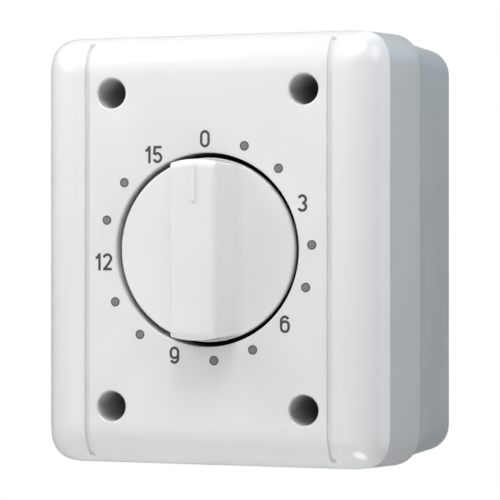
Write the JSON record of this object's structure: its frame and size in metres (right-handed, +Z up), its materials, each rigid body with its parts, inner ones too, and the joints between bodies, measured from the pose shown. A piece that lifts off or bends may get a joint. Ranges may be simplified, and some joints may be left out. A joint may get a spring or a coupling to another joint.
{
  "type": "clockwork timer switch",
  "caption": "Surface-mounted rotary timer switch: rolled white cover, round dial knob with a grip bar, clockwork run-back movement and cam switch in a wall box.",
  "frame": {"origin": "centre of the flat back face, on the wall", "axes": "+Z up, +Y into the wall, so the dial faces -Y and +X is to the right as seen from the front"},
  "size_m": [0.0676, 0.0559, 0.0804],
  "materials": {
    "cover_plastic": "glossy moulded white",
    "knob_plastic": "glossy moulded white",
    "base_plastic": "satin moulded pale grey",
    "rubber": "moulded",
    "screw_steel": "zinc plated",
    "spring_steel": "blued",
    "turned_steel": "turned",
    "plate_steel": "zinc plated sheet",
    "black_steel": "blackened sheet",
    "liner_plastic": "moulded pale grey",
    "brass": "stamped and cut",
    "bronze": "rolled spring strip",
    "silver": "pressed contact button",
    "insulator": "moulded black"
  },
  "bodies": {
    "housing": {"front_cover": "cover_plastic", "base_housing": "base_plastic", "cover_seal": "rubber", "cover_screws": "screw_steel", "screw_liners": "liner_plastic", "cable_grommet": "rubber", "support_plate": "plate_steel", "front_plate": "black_steel", "plate_pillars": "turned_steel", "pillar_nuts": "screw_steel", "plate_screws": "screw_steel", "mainspring": "spring_steel", "spring_post": "turned_steel", "stop_pin": "turned_steel", "contact_block": "insulator", "moving_contacts": "bronze", "moving_tips": "silver", "fixed_contacts": "brass", "fixed_tips": "silver", "terminals": "brass", "terminal_screws": "screw_steel", "block_screws": "screw_steel"},
    "spindle_set": {"knob": "knob_plastic", "knob_clip": "spring_steel", "spindle": "turned_steel", "spindle_ring": "spring_steel", "main_wheel": "brass", "ratchet_wheel": "turned_steel", "click": "turned_steel", "click_spring": "spring_steel", "switch_cam": "insulator"},
    "second_wheel": {"second_wheel": "brass"},
    "third_wheel": {"third_wheel": "brass"},
    "escape_wheel": {"escape_wheel": "brass"},
    "pallet_lever": {"pallet_lever": "turned_steel"}
  },
  "joints": [
    {"name": "knob_turn", "type": "hinge", "parent": "housing", "child": "spindle_set", "pos_m": [0, 0, 0], "axis": [0, 1, 0], "range_deg": [0, 330], "stiffness_Nm_per_rad": 0.002, "springref_deg": -45.84, "deforming": ["mainspring", "moving_contacts", "moving_tips"]},
    {"name": "second_turn", "type": "hinge", "parent": "housing", "child": "second_wheel", "pos_m": [-0.0141, 0, -0.00513], "axis": [0, 1, 0], "range_deg": [-1320, 0]},
    {"name": "third_turn", "type": "hinge", "parent": "housing", "child": "third_wheel", "pos_m": [-0.0081, 0, -0.01552], "axis": [0, 1, 0], "range_deg": [0, 5280]},
    {"name": "escape_turn", "type": "hinge", "parent": "housing", "child": "escape_wheel", "pos_m": [0.00149, 0, -0.01603], "axis": [0, 1, 0], "range_deg": [-15840, 0]},
    {"name": "pallet_rock", "type": "hinge", "parent": "housing", "child": "pallet_lever", "pos_m": [0.00968, 0, -0.0156], "axis": [0, 1, 0], "range_deg": [-3, 3]}
  ],
  "couplings": [
    {"joint": "second_turn", "follows": "knob_turn", "ratio": -4},
    {"joint": "third_turn", "follows": "knob_turn", "ratio": 16},
    {"joint": "escape_turn", "follows": "knob_turn", "ratio": -48}
  ]
}
